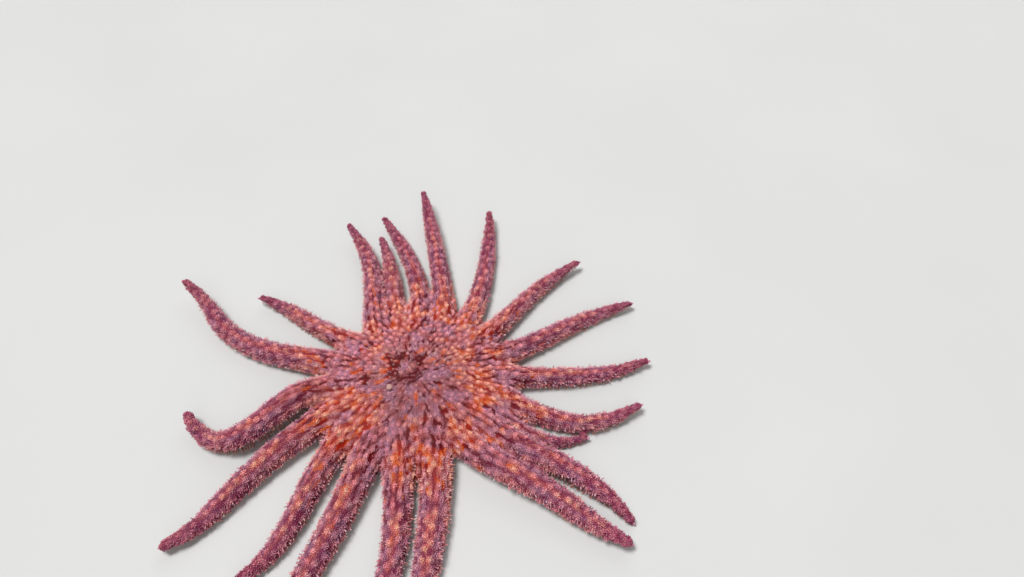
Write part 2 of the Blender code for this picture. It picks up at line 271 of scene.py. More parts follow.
def arm_line(number, centre, rim):
    """The arm's groove, drawn on inwards to the disc's centre, with the distance from there."""
    names = [f"arm_{number:02d}_inner", f"arm_{number:02d}_outer"]
    corners = in_order([p for n in names for p in fold_points(n)], Vector(centre))
    line, along = evenly(corners, LINE_STEP)
    inward = np.linspace(0.1, 0.97, INWARD_STEPS)[:, None] * (line[0] - centre) + centre
    inward[:, 2] = line[0][2]
    whole = np.concatenate([inward, line])
    reach = np.concatenate([np.linalg.norm(inward - centre, axis=1), rim + along])
    return Arm(whole, reach, unit(np.gradient(whole, axis=0)))


# Skin


def read(items, field, width, kind=float):
    """One field of all of a mesh's vertices, edges or triangles, as rows of this width."""
    found = np.empty(len(items) * width, kind)
    items.foreach_get(field, found)
    return found.reshape(-1, width)


def surface(mesh):
    """The mesh's points and their normals."""
    normals = read(mesh.vertex_normals, "vector", 3, np.float32).astype(float)
    return read(mesh.vertices, "co", 3), normals


def set_coordinates(mesh, points):
    mesh.vertices.foreach_set("co", np.asarray(points, np.float32).ravel())
    mesh.update()


def relaxed(points, pairs, rounds, pull):
    """Points drawn towards the mean of their neighbours, by the share pull in each round."""
    first, second = pairs.T
    count = len(points)
    degree = np.bincount(pairs.ravel(), minlength=count)[:, None]
    for _ in range(rounds):
        columns = points.T
        total = [np.bincount(first, c[second], count) + np.bincount(second, c[first], count) for c in columns]
        points = points + pull * (np.stack(total, 1) / degree - points)
    return points


def without_bubbles(mesh):
    """Keeps the mesh's largest piece: remeshing can leave tiny closed cavities in the old cuts."""
    pairs = read(mesh.edges, "vertices", 2, np.int64)
    label = np.arange(len(mesh.vertices))
    settled = False
    while not settled:
        after = label.copy()
        np.minimum.at(after, pairs, label[pairs].min(axis=1, keepdims=True))
        after = after[after]
        settled = np.array_equal(after, label)
        label = after
    largest = np.bincount(label).argmax()
    body = bmesh.new()
    body.from_mesh(mesh)
    body.verts.ensure_lookup_table()
    bmesh.ops.delete(body, geom=[body.verts[i] for i in np.flatnonzero(label != largest)], context="VERTS")
    body.to_mesh(mesh)
    body.free()


def fused_solids(names):
    """The named solids as one closed surface, with the thin cuts between them closed."""
    joined = bmesh.new()
    for name in names:
        part = welded(name)
        for vertex in part.verts:
            vertex.co += vertex.normal * CLOSE_UP
        fattened = bpy.data.meshes.new(name)
        part.to_mesh(fattened)
        part.free()
        joined.from_mesh(fattened)
        bpy.data.meshes.remove(fattened)
    mesh = bpy.data.meshes.new("skin")
    joined.to_mesh(mesh)
    joined.free()
    skin = new_object("skin", mesh)
    remesh = skin.modifiers.new("one_surface", "REMESH")
    remesh.mode = "VOXEL"
    remesh.voxel_size = VOXEL
    remesh.adaptivity = 0
    evaluated = skin.evaluated_get(bpy.context.evaluated_depsgraph_get())
    whole = bpy.data.meshes.new_from_object(evaluated)
    skin.modifiers.clear()
    skin.data = whole
    bpy.data.meshes.remove(mesh)
    without_bubbles(whole)
    return skin


# Where a point is on the animal

# at, normal, flow (the way out along the body) and side are rows of three. arm counts from 0. reach is
# the distance from the disc's centre along the body, share runs from 0 at the rim to 1 at the arm's
# tip, girth from 0 on the ridge of the back to -pi or pi at the feet groove, and under is 1 below.
Places = namedtuple("Places", "at normal flow side arm reach to_tip share girth across under")


class Body:
    """The disc's centre and the arms' middle lines, which tell where any point is on the animal."""

    def __init__(self, skin_tree):
        low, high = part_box("disc")
        self.rim = (high.x - low.x) / 2
        self.centre = np.array(((low.x + high.x) / 2, (low.y + high.y) / 2, 0))
        self.arms = [arm_line(number + 1, self.centre, self.rim) for number in range(ARMS)]
        soles, self.reach, self.forward = (np.concatenate(columns) for columns in zip(*self.arms))
        self.owner = np.repeat(range(ARMS), [len(arm.reach) for arm in self.arms])
        self.end = np.array([arm.reach[-1] for arm in self.arms])
        self.axis = soles.copy()
        self.size = np.empty(len(soles))
        for row, sole in enumerate(soles):
            hit, _, _, _ = skin_tree.ray_cast(Vector(sole) + Vector((0, 0, MM)), Vector(UP))
            top = hit.z if hit else sole[2] + 4 * MM
            self.axis[row, 2] = (sole[2] + top) / 2
            self.size[row] = (top - sole[2]) / 2
        self.tree = point_tree(self.axis)

    def locate(self, at, normal):
        """Places for points on the body's surface."""
        row = np.array([self.tree.find(point)[1] for point in at])
        arm = self.owner[row]
        forward = self.forward[row]
        offset = at - self.axis[row]
        beyond = (offset * forward).sum(1)
        reach = np.clip(self.reach[row] + beyond, 0, self.end[arm])
        radial = at - self.centre
        radial[:, 2] = 0
        plan = np.linalg.norm(radial, axis=1)
        flow = mix(unit(radial), forward, ramp(0.75 * self.rim, 1.15 * self.rim, plan))
        flow = unit(flow - normal * (flow * normal).sum(1, keepdims=True))
        left = unit(np.cross(UP, forward))
        up = np.cross(forward, left)
        across = (offset * left).sum(1)
        girth = np.arctan2(across, (offset * up).sum(1))
        side = np.cross(normal, flow)
        to_tip = self.end[arm] - reach
        share = (reach - self.rim) / (self.end[arm] - self.rim)
        under = ramp(0.15, 0.55, -normal[:, 2])
        return Places(at, normal, flow, side, arm, reach, to_tip, share, girth, across, under)


def point_tree(points):
    """A tree that finds the rows of the nearest points."""
    tree = KDTree(len(points))
    for row, point in enumerate(points):
        tree.insert(point, row)
    tree.balance()
    return tree


def scattered(mesh, spacing, rng):
    """Random points on the mesh, none nearer than spacing to another, with their normals."""
    mesh.calc_loop_triangles()
    area = read(mesh.loop_triangles, "area", 1).ravel()
    count = int(CROWD * area.sum() / spacing**2)
    triangle = np.searchsorted(np.cumsum(area), rng.random(count) * area.sum())
    corners = read(mesh.loop_triangles, "vertices", 3, np.int64)[np.minimum(triangle, len(area) - 1)]
    weights = rng.dirichlet((1, 1, 1), count)[..., None]
    at, normal = ((column[corners] * weights).sum(1) for column in surface(mesh))
    tree = point_tree(at)
    free = np.ones(count, bool)
    kept = []
    for row in range(count):
        if free[row]:
            kept.append(row)
            free[[found[1] for found in tree.find_range(at[row], spacing)]] = False
    return at[kept], unit(normal)[kept]


def chosen(places, mask):
    """The places that the mask or list of rows picks out."""
    return Places(*(column[mask] for column in places))


def spread_apart(places, spacing, stretch):
    """Rows of places, taken in turn, each clear of all taken before it.

    The clear space is an oval: spacing across the body, and stretch times that along it.
    """
    taken = np.empty((len(places.at), 3))
    rows = []
    for row, point in enumerate(places.at):
        offset = taken[: len(rows)] - point
        along = offset @ places.flow[row]
        far = (offset**2).sum(1) - along**2 * (1 - 1 / stretch[row] ** 2)
        if not rows or far.min() > spacing[row] ** 2:
            taken[len(rows)] = point
            rows.append(row)
    return np.array(rows)


# Markings

DUSTY = (0.50, 0.150, 0.185)
ROSE = (0.52, 0.100, 0.110)
LAVENDER = (0.54, 0.235, 0.36)
BERRY = (0.44, 0.080, 0.145)
PURPLE = (0.32, 0.080, 0.190)
MAGENTA = (0.40, 0.045, 0.140)
WINE = (0.17, 0.018, 0.054)
MAROON = (0.095, 0.002, 0.004)
RUSSET = (0.32, 0.012, 0.003)
PINK = (0.78, 0.21, 0.27)
BLUSH = (0.90, 0.32, 0.33)
SALMON = (0.85, 0.18, 0.11)
PEACH = (0.98, 0.42, 0.25)
ORANGE = (0.88, 0.14, 0.006)
PALE = (0.96, 0.66, 0.66)
ORAL = (0.74, 0.36, 0.27)

# Where things begin to show, and where they show in full: in radii of the disc from its centre, or for
# the ridge and the flanks in radians from an arm's ridge
OUTER_DISC = (0.35, 0.8)
FREE_ARMS = (1.1, 1.9)
ARM_ROOTS = (0.7, 1.0)
PAST_ROOTS = (1.6, 2.2)
FAR_ALONG = (1.8, 2.8)
OFF_RIDGE = (0.2, 0.9)
# FLANK and PAST_FLANK bound the band of painted rim light along the arms' sides
FLANK = (0.5, 0.9)
PAST_FLANK = (1.3, 1.6)
GROOVE_SHADE = (1 * MM, 6 * MM)  # from the middle of a feet groove

RIM = 1.05  # radii of the disc
RIM_WIDTH = 0.45
RING_CENTRE = (-9 * MM, 8 * MM)  # of the dark ring on the crown, from the disc's centre
RING_RADIUS = 17 * MM
RING_WIDTH = 6 * MM
GLOW_CENTRE = (58 * MM, -42 * MM)  # of the warmest patch on the disc, from the disc's centre
GLOW_RADIUS = 34 * MM
ROW_PITCH = 9 * MM  # between the rows of dark marks on the arms' roots

# Sizes of the noise behind the marks; pairs are across the body and along it
DASHES = (3.2 * MM, 9 * MM)
SMALL_DASHES = (1.8 * MM, 5 * MM)
THREADS = (1.6 * MM, 14 * MM)
BLOTCHES = (4 * MM, 9 * MM)  # of orange
PATCHES = 26 * MM  # of warm colours
PATCH_EDGES = 10 * MM
SPECKS = 2.9 * MM
GRAIN = 2.4 * MM
CLOUDS = 9 * MM  # of lilac on rose

Seats = namedtuple("Seats", "places tree tone")
Zones = namedtuple("Zones", "out outer free above turn ridge ring rows")
Markings = namedtuple("Markings", "cover low deep root tip bump")


def drawn_out(body, places):
    """How many times longer than wide the marks are: longest where the arms leave the disc."""
    out = places.reach / body.rim
    return 1.2 + 0.8 * ramp(0.3, 0.8, out) * (1 - ramp(1.4, 2.2, out))


def seat_spacing(body, places):
    """Room for a seat across the body: more of it on the free arms, but less near their tips."""
    free = ramp(1.0, 1.8, places.reach / body.rim)
    return SEAT_SPACING * mix(1, 1.35, free) * slimmed(0.6, 80 * MM, places.to_tip)


def spine_seats(mesh, body, rng):
    """Where the spines of the back stand, and each one's tone, which the flesh round it shares."""
    places = body.locate(*scattered(mesh, SEAT_SPACING / 2.8, rng))
    places = chosen(places, (places.under < 0.3) & (places.to_tip > 5 * MM))
    places = chosen(places, rng.permutation(len(places.at)))
    spacing = seat_spacing(body, places)
    places = chosen(places, spread_apart(places, spacing, drawn_out(body, places)))
    return Seats(places, point_tree(places.at), rng.random(len(places.at)))


def nearest_seat(places, body, seats, tried=7):
    """Distance to the nearest seat, measured with marks drawn out, and that seat's tone."""
    rows = np.array([[found[1] for found in seats.tree.find_n(point, tried)] for point in places.at])
    offset = seats.places.at[rows] - places.at[:, None]
    along = (offset * places.flow[:, None]).sum(2)
    squeeze = 1 - 1 / drawn_out(body, places)[:, None] ** 2
    far = np.sqrt(np.maximum((offset**2).sum(2) - squeeze * along**2, 0))
    first = np.argmin(far, axis=1)
    row = np.arange(len(rows))
    return far[row, first], seats.tone[rows[row, first]]


def distance_from(spot, places, body):
    """Distance, seen from above, from a spot given from the disc's centre."""
    return np.linalg.norm((places.at - body.centre)[:, :2] - spot, axis=1)


def zones_of(places, body):
    """How far each place lies in the parts of the body that are coloured each in their own way."""
    out = places.reach / body.rim
    turn = np.abs(places.girth)
    above = 1 - places.under
    from_ring = distance_from(RING_CENTRE, places, body) - RING_RADIUS
    ring = np.exp(-((from_ring / RING_WIDTH) ** 2)) * above
    rows = np.cos(places.across / ROW_PITCH * math.tau)
    rows = rows * ramp(*ARM_ROOTS, out) * (1 - ramp(*PAST_ROOTS, out))
    outer = ramp(*OUTER_DISC, out)
    free = ramp(*FREE_ARMS, out)
    ridge = 1 - ramp(*OFF_RIDGE, turn)
    return Zones(out, outer, free, above, turn, ridge, ring, rows)


def warmth(places, body, zones):
    """Where the flesh is peach and salmon: in patches, mostly at the rim and along the ridges."""
    patch = 0.65 * noise(places.at, PATCHES, seed=21) + 0.35 * noise(places.at, PATCH_EDGES, seed=25)
    patch = patch + 0.08 * zones.free * (zones.ridge - 0.5)
    patch = patch + 0.06 * np.exp(-(((zones.out - RIM) / RIM_WIDTH) ** 2))
    glow = distance_from(GLOW_CENTRE, places, body) / GLOW_RADIUS
    patch = patch + 0.10 * np.exp(-(glow**2)) * zones.above
    warm = ramp(0.45, 0.60, patch - 0.04 * ramp(*FAR_ALONG, zones.out))
    return warm * mix(1, 0.4 + 0.5 * zones.ridge, zones.free)


def dark_dashes(places, zones, beads):
    """The dark dashes that run out over the disc, in rows at the arms' roots, and specks in the ring."""
    ring = zones.ring
    streak = 0.7 * flow_noise(places, *DASHES, seed=11)
    streak = streak + 0.3 * flow_noise(places, *SMALL_DASHES, seed=16)
    speckle = noise(places.at, SPECKS, seed=15)
    streak = mix(streak, speckle, ring) - 0.2 * ring - 0.07 * zones.rows + 0.05 * beads * zones.outer
    return 1 - ramp(0.385, 0.45, streak)


def fuzz_colours(places, zones, warm, beads, tone, marked, grain):
    """The coat's colours on the back before the dark marks, with painted light and painted rim light, and how
    much orange there is.
    """
    out, outer, free, _, turn, ridge, ring, rows = zones
    soft = noise(places.at, CLOUDS, seed=23)
    lilac = ramp(0.45, 0.70, soft)
    base = mix(mix(ROSE, DUSTY, ramp(0.2, 0.5, soft)), LAVENDER, 0.8 * lilac)
    base = mix(mix(base, RUSSET, 0.6 * ring), mix(BERRY, PURPLE, lilac), free)
    base = mix(base, SALMON, np.maximum(0.7 * warm * outer, 0.5 * ridge * free))
    bead = mix(mix(PINK, BLUSH, ramp(0.2, 0.7, tone)), PEACH, warm * ramp(0.1, 0.4, tone))
    bead = mix(bead, PINK, 0.3 * free * (1 - warm) * (1 - ridge))
    fuzz = mix(base, bead, beads * mix(0.35, mix(0.65, 0.95, np.maximum(warm, free)), outer))
    thread = flow_noise(places, *THREADS, seed=13)
    grown = mix(grain, thread * 1.6 - 0.3, 0.5 * (1 - free) * outer)
    # Painted light: the coat is up to 14% lighter over the outer disc and, on the free arms, along their
    # ridges
    painted_light = 1 + 0.14 * outer * mix(1, ridge, free)
    fuzz = fuzz * (mix(0.62, 1.28, grown) * (1 - 0.12 * rows) * painted_light)[:, None]
    fuzz = mix(fuzz, MAGENTA, 0.55 * ramp(0.4, 1, places.share))
    # Painted rim light: a lavender band along both flanks of every arm, from its root, fading towards its tip
    # and weaker over the dark marks
    edge = ramp(*FLANK, turn) * (1 - ramp(*PAST_FLANK, turn)) * ramp(0.8, 1.1, out)
    fuzz = mix(fuzz, LAVENDER, 0.5 * edge * (1 - ramp(0.4, 1, places.share)) * (1 - 0.6 * marked))
    blotch = flow_noise(places, *BLOTCHES, seed=22)
    orange = ramp(0.58, 0.63, blotch + 0.14 * (warm - 0.9))
    orange = orange * ramp(0.12, 0.35, out) * (1 - ramp(1.3, 2.4, out))
    return mix(fuzz, ORANGE, orange * (1 - 0.7 * beads * outer)), orange, soft


def markings(places, body, seats):
    """How thick the coat stands at each place, and the colours of the skin and of the coat there."""
    zones = zones_of(places, body)
    outer, free, above = zones.outer, zones.free, zones.above
    near, tone = nearest_seat(places, body, seats)
    near = near / seat_spacing(body, places) / mix(0.8, 1.2, tone)
    grain = noise(places.at, GRAIN, seed=14)
    warm = warmth(places, body, zones)

    spot = near + 0.5 * (grain - 0.5)
    beads = 1 - ramp(0.16, 0.50, spot)
    dashes = dark_dashes(places, zones, beads)
    gaps = ramp(0.62, 0.80, spot) * outer
    marked = np.maximum(dashes * mix(1, 0.65, free), 0.55 * gaps)
    cover = mix(1 - np.maximum(dashes * (1 - 0.4 * free), 0.45 * gaps), 1, places.under)

    fuzz, orange, soft = fuzz_colours(places, zones, warm, beads, tone, marked, grain)
    deep = mix(mix(MAROON, RUSSET, np.maximum(0.5 * warm * outer, orange)), WINE, free)
    fuzz = mix(fuzz, deep, 0.92 * marked)
    groove = 1 - ramp(*GROOVE_SHADE, np.abs(places.across))
    oral = np.array(ORAL) * ((1 - 0.38 * groove) * mix(0.8, 1.1, soft))[:, None]
    fuzz = mix(fuzz, oral, places.under)
    deep = mix(deep, mix(oral, ROSE, 0.3), places.under)
    # The coat's tips are mixed towards PALE: partly the gills' own paler ends, partly painted highlight,
    # strongest in the warm patches; not in the dark marks or below
    tip = mix(fuzz, PALE, (0.2 + 0.12 * warm) * (1 - marked) * above)
    bump = (1 - ramp(0.2, 0.6, near)) * outer * mix(0.4, 1, free) * above
    return Markings(cover, outer * above * (1 - beads), deep, fuzz, tip, bump)


# Pieces


def new_object(name, data):
    """An object with this data, linked to the scene."""
    made = bpy.data.objects.new(name, data)
    bpy.context.collection.objects.link(made)
    return made


def paint(mesh, colours):
    """Stores one colour for each vertex as the mesh's markings."""
    layer = mesh.color_attributes.new(name="Markings", type="FLOAT_COLOR", domain="POINT")
    solid = np.append(np.clip(colours, 0, 1), np.ones((len(colours), 1)), axis=1)
    layer.data.foreach_set("color", solid.astype(np.float32).ravel())


def placed_mesh(name, points, faces, material, colours=None):
    """A piece from points and faces that rides on the one body."""
    mesh = bpy.data.meshes.new(name)
    mesh.from_pydata(points, [], faces)
    mesh.shade_smooth()
    mesh.materials.append(material)
    if colours is not None:
        paint(mesh, colours)
    piece = new_object(name, mesh)
    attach(piece, "root")
    return piece


def swept(paths, radii, sides):
    """Closed pegs along paths (pegs, steps, 3): points, triangles of the first peg, and patches.

    Each step but the last has a ring of this radius (pegs, steps - 1), and the last one is a point.
    A peg's patch is the same triangles laid flat round its root: the rings inside each other.
    """
    pegs, steps = paths.shape[:2]
    tangent = unit(np.gradient(paths, axis=1))
    level = np.where(np.abs(tangent[:, :1, 2:]) < 0.9, UP, (1.0, 0.0, 0.0))
    across = unit(np.cross(tangent, level))
    other = np.cross(tangent, across)
    turn = np.arange(sides) * math.tau / sides
    round_it = np.stack([np.cos(turn), np.sin(turn)], 1)
    rings = across[:, :-1, None] * round_it[:, :1] + other[:, :-1, None] * round_it[:, 1:]
    rings = paths[:, :-1, None] + rings * radii[:, :, None, None]
    points = np.concatenate([rings.reshape(pegs, -1, 3), paths[:, -1:]], axis=1)
    triangles = [(0, i + 1, i) for i in range(1, sides - 1)]
    for ring in range(steps - 2):
        for i in range(sides):
            a, b = ring * sides + i, ring * sides + (i + 1) % sides
            triangles += [(a, b, b + sides), (a, b + sides, a + sides)]
    last = (steps - 2) * sides
    triangles += [(last + i, last + (i + 1) % sides, last + sides) for i in range(sides)]
    shrink = 1 - np.arange(steps - 1) / (steps - 1)
    patch = (shrink[:, None, None] * round_it).reshape(-1, 2)
    return points, np.array(triangles), np.append(patch, [(0, 0)], axis=0) * PATCH / 2


def joined_faces(triangles, pegs):
    """The first peg's triangles, repeated for every one of these pegs (pegs, points, 3)."""
    shift = np.arange(len(pegs))[:, None, None] * pegs.shape[1]
    return (triangles + shift).reshape(-1, 3)


def add_pegs(name, paths, radii, sides, colour, material):
    """A piece of joined pegs, all alike and of one colour; their radii are in millimetres."""
    radii = np.tile(np.array(radii) * MM, (len(paths), 1))
    points, triangles, _ = swept(np.array(paths), radii, sides)
    colours = np.tile(colour, (len(points) * points.shape[1], 1))
    placed_mesh(name, points.reshape(-1, 3), joined_faces(triangles, points), material, colours)


def polar_plate(radius, rings, steps, top, low):
    """A round plate: its upper face at height top(distance, azimuth), its lower face flat."""
    turn = np.arange(steps) * math.tau / steps
    points = [(0, 0, float(top(np.zeros(1), np.zeros(1))[0]))]
    for ring in range(1, rings + 1):
        far = np.full(steps, radius * ring / rings)
        points += zip(far * np.cos(turn), far * np.sin(turn), top(far, turn))
    points += zip(radius * np.cos(turn), radius * np.sin(turn), np.full(steps, low))
    points.append((0, 0, low))
    faces = [(0, 1 + i, 1 + (i + 1) % steps) for i in range(steps)]
    rim = 1 + rings * steps
    for base in range(1, rim, steps):
        for i in range(steps):
            j = (i + 1) % steps
            faces.append((base + i, base + steps + i, base + steps + j, base + j))
    faces += [(len(points) - 1, rim + (i + 1) % steps, rim + i) for i in range(steps)]
    return np.array(points), faces


# Coat


def unwrapped(places, body):
    """Each place on a flat layout of the skin: two rows of arms, then the disc's back and underside."""
    row, column = np.divmod(places.arm, STRIPS)
    u = (column + 0.5 + HALF_STRIP * places.girth / math.pi) / STRIPS
    share = np.clip((places.reach - body.rim) / LONGEST_ARM, 0, 1)
    v = STRIP_STEP * row + STRIP_MARGIN + STRIP_LENGTH * share
    flat = (places.at - body.centre)[:, :2] / body.rim * FLAT_DISC
    disc = flat + np.where((places.under > 0.5)[:, None], UNDERSIDE_AT, BACK_AT)
    return np.where((places.reach < body.rim)[:, None], disc, np.stack([u, v], 1))


def add_coat(name, peg, paths, radius, root, tip, places, body, material):
    """Pieces of joined pegs, each under the limit of triangles, with markings and an unwrap."""
    points, triangles, patch = swept(paths, radius[:, None] * np.array(peg.girths), peg.sides)
    points[..., 2] = np.maximum(points[..., 2], OFF_FLOOR)
    height = np.append(np.repeat(peg.heights[:-1], peg.sides), peg.heights[-1])
    colours = root[:, None] + (tip - root)[:, None] * (height**peg.fade)[None, :, None]
    share = max(1, math.ceil(len(points) * len(triangles) / PIECE_LIMIT))
    order = np.lexsort((places.reach, places.arm))
    for number, rows in enumerate(np.array_split(order, share), 1):
        pegs, shades = points[rows], colours[rows].reshape(-1, 3)
        faces = joined_faces(triangles, pegs)
        piece = placed_mesh(f"{name}_{number}", pegs.reshape(-1, 3), faces, material, shades)
        spots = (unwrapped(chosen(places, rows), body)[:, None] + patch).reshape(-1, 2)
        layer = piece.data.uv_layers.new(name="OFBake")
        layer.uv.foreach_set("vector", spots[faces.ravel()].astype(np.float32).ravel())


def bent_paths(places, length, lean, bend, rng, peg, wobble=0.18):
    """Paths that rise from the skin, lean out along the body and bend further towards their ends."""
    way = places.normal + places.flow * np.tan(lean)[:, None]
    way = unit(way + rng.normal(0, wobble, way.shape))
    height = np.array(peg.heights)[None, :, None]
    curl = places.flow * (bend * length)[:, None]
    rise = way[:, None] * length[:, None, None] * height
    return places.at[:, None] - way[:, None] * ROOTED + rise + curl[:, None] * height**2


def add_papulae(skin, body, seats, rng, material):
    """The soft gills that make the back look furry; they stand low and dark in the crevices."""
    places = body.locate(*scattered(skin, PAPULA_SPACING, rng))
    places = chosen(places, places.under < 0.6)
    marks = markings(places, body, seats)
    count = len(places.at)
    out = places.reach / body.rim
    small = slimmed(0.6, 20 * MM, places.to_tip)
    stout = marks.bump
    fringe = ramp(1.1, 1.5, np.abs(places.girth)) * ramp(0.9, 1.2, out)
    low = mix(1, mix(0.6, 0.8, ramp(1.0, 1.5, out)), marks.low)
    length = PAPULA.length * mix(0.55, 1, marks.cover) * low
    length = length * mix(1, 0.7, stout) * mix(1, 1.3, fringe)
    length = length * rng.uniform(0.75, 1.15, count) * small
    radius = PAPULA.radius * mix(0.85, 1, marks.cover) * mix(0.9, 1.2, stout)
    radius = radius * rng.uniform(0.8, 1.2, count) * np.sqrt(small)
    lean = rng.uniform(0.2, 0.8, count) * mix(1, 0.3, stout)
    paths = bent_paths(places, length, lean, 0.25, rng, PAPULA)
    light = rng.uniform(0.78, 1.22, (count, 1))
    # Painted shade: each gill's root is painted 15% darker than the coat, for the shade down between the
    # gills
    root, tip = marks.root * light * 0.85, marks.tip * light
    add_coat("papulae", PAPULA, paths, radius, root, tip, places, body, material)


def add_wreaths(skin_tree, body, seats, rng, material):
    """The little pincers (pedicellariae) that stand in a wreath of knobs round each spine's foot."""
    hits = []
    stands = seats.places
    for row, (centre, flow, side) in enumerate(zip(stands.at, stands.flow, stands.side)):
        start = rng.random() * math.tau
        for k in range(WREATH_KNOBS):
            turn = start + k * math.tau / WREATH_KNOBS
            away = WREATH_RADIUS * rng.uniform(0.75, 1.25)
            point = centre + (flow * math.cos(turn) + side * math.sin(turn)) * away
            found, facing, _, _ = skin_tree.find_nearest(Vector(point))
            hits.append((row, found, facing))
    rows, at, normal = (np.array(column) for column in zip(*hits))
    places = body.locate(at, normal)
    places = places._replace(flow=unit(places.at - stands.at[rows]))
    marks = markings(chosen(stands, rows), body, seats)
    count = len(places.at)
    small = slimmed(0.5, 40 * MM, places.to_tip) * rng.uniform(0.8, 1.15, count)
    paths = bent_paths(places, KNOB.length * small, rng.uniform(0.1, 0.5, count), 0.1, rng, KNOB)
    light = rng.uniform(0.85, 1.12, (count, 1))
    root, tip = marks.root * light, mix(marks.tip, PALE, 0.12) * light
    add_coat("knobs", KNOB, paths, KNOB.radius * small, root, tip, places, body, material)


def add_back_spines(body, seats, rng, material):
    """The blunt pale spines of the back, each with a bead at its end."""
    places = seats.places
    root = markings(places, body, seats).tip
    count = len(places.at)
    small = slimmed(0.5, 40 * MM, places.to_tip) * rng.uniform(0.8, 1.15, count)
    lean = rng.uniform(0.0, 0.4, count)
    length, radius = BACK_SPINE.length * small, BACK_SPINE.radius * small
    paths = bent_paths(places, length, lean, 0.05, rng, BACK_SPINE, wobble=0.08)
    tip = mix(root, BEAD, 0.8 * ramp(0.7, 0.8, rng.random(count)))
    add_coat("back_spines", BACK_SPINE, paths, radius, root, tip, places, body, material)


def side_row(body, skin_tree, turn, rng):
    """Places in a row along both sides of every arm, at this turn from its ridge."""
    hits = []
    for number, arm in enumerate(body.arms):
        reach = np.arange(SIDE_START * body.rim, arm.reach[-1] - 3 * MM, SIDE_PITCH)
        for hand in (-1, 1):
            for place in reach + rng.uniform(-0.2, 0.2, len(reach)) * SIDE_PITCH:
                row = int(np.searchsorted(arm.reach, place))
                row = min(row, len(arm.reach) - 1) + int(np.argmax(body.owner == number))
                forward = body.forward[row]
                left = unit(np.cross(UP, forward))
                up = np.cross(forward, left)
                way = up * math.cos(turn) + left * math.sin(turn) * hand
                hit, facing, _, far = skin_tree.ray_cast(Vector(body.axis[row]), Vector(way))
                if hit and far < 2.2 * body.size[row]:
                    hits.append((number, hit, facing))
    arms, at, normal = (np.array(column) for column in zip(*hits))
    places = body.locate(at, normal)
    same = (places.arm == arms) & (np.abs(np.abs(places.girth) - turn) < 0.4)
    return chosen(places, same)


def add_side_spines(skin_tree, body, seats, rng, material):
    """The longer spines along the arms' edges, in rows, standing out sideways."""
    rows = [side_row(body, skin_tree, turn, rng) for turn in SIDE_TURNS]
    places = Places(*(np.concatenate(columns) for columns in zip(*rows)))
    marks = markings(places, body, seats)
    count = len(places.at)
    stance = places._replace(normal=unit(places.normal * (1, 1, 0.45)))
    small = slimmed(0.35, 70 * MM, places.to_tip) * rng.uniform(0.75, 1.2, count)
    lean = rng.uniform(0.0, 0.5, count)
    length, radius = SIDE_SPINE.length * small, SIDE_SPINE.radius * small
    paths = bent_paths(stance, length, lean, 0.05, rng, SIDE_SPINE, wobble=0.1)
    root = mix(marks.tip, DUSTY, 0.3)
    tip = mix(marks.tip, BEAD, 0.7 * ramp(0.65, 0.85, rng.random(count)))
    add_coat("side_spines", SIDE_SPINE, paths, radius, root, tip, places, body, material)


def add_sole_spines(skin, body, seats, rng, material):
    """The short blunt spines under the arms, lying out sideways from the feet groove."""
    places = body.locate(*scattered(skin, SOLE_SPACING, rng))
    in_mouth = distance_from((0, 0), places, body) < MOUTH_ROOM
    places = chosen(places, (places.under > 0.6) & ~in_mouth & (places.to_tip > 3 * MM))
    root = markings(places, body, seats).tip
    count = len(places.at)
    hand = np.sign(places.across)[:, None]
    outward = unit(np.cross(UP, places.flow) * hand + 0.4 * places.flow)
    stance = places._replace(normal=unit(outward + 0.5 * places.normal))
    length = SOLE_SPINE.length * rng.uniform(0.8, 1.2, count) * slimmed(0.5, 40 * MM, places.to_tip)
    paths = bent_paths(stance, length, np.zeros(count), 0.1, rng, SOLE_SPINE)
    radius = SOLE_SPINE.radius * rng.uniform(0.8, 1.2, count)
    tip = mix(root, BEAD, 0.7)
    add_coat("sole_spines", SOLE_SPINE, paths, radius, root, tip, places, body, material)


def foot_paths(arm, body, rng):
    """The paths of one arm's tube feet, row by row: down from the groove, and out to its sides."""
    reach = np.arange(FOOT_START * body.rim, arm.reach[-1] - 5 * MM, FOOT_PITCH)
    base = between(reach, arm.reach, arm.line) - UP * FOOT_ROOT_DEPTH
    ahead = unit(between(reach, arm.reach, arm.forward))
    left = unit(np.cross(UP, ahead))
    slim = slimmed(0.35, 90 * MM, arm.reach[-1] - reach) * ramp(0.1, 0.6, reach / body.rim)
    drop = np.minimum(base[:, 2] - FOOT_END, FOOT_DROP * slim)
    rows = []
    for hand, (spread, start) in itertools.product((-1, 1), FOOT_ROWS):
        far = spread * slim * rng.uniform(0.85, 1.2, len(reach))
        slide = ahead * rng.normal(0, 0.5, len(reach))[:, None] * FOOT_PITCH
        knots = []
        for share, out in FOOT_KNOTS:
            side = left * hand * (start * slim + far * out)[:, None]
            knots.append(base + side - UP * (drop * share)[:, None] + slide * out)
        rows.append(np.stack(knots, 1))
    return np.concatenate(rows), np.tile(base, (len(rows), 1))


def add_tube_feet(body, rng, material):
    """Rows of tube feet that come out of every groove and spread to the floor, suckers down."""
    paths, roots = zip(*(foot_paths(arm, body, rng) for arm in body.arms))
    paths = np.concatenate(paths)
    count = len(paths)
    places = body.locate(np.concatenate(roots), np.tile(-UP, (count, 1)))
    size = slimmed(0.45, 70 * MM, places.to_tip) * rng.uniform(0.85, 1.1, count)
    root = np.tile(FOOT_SHAFT_AND_SHADE, (count, 1)) * rng.uniform(0.8, 1.15, (count, 1))
    tip = np.tile(FOOT_SUCKER, (count, 1))
    add_coat("tube_feet", TUBE_FOOT, paths, TUBE_FOOT.radius * size, root, tip, places, body, material)


# Single pieces


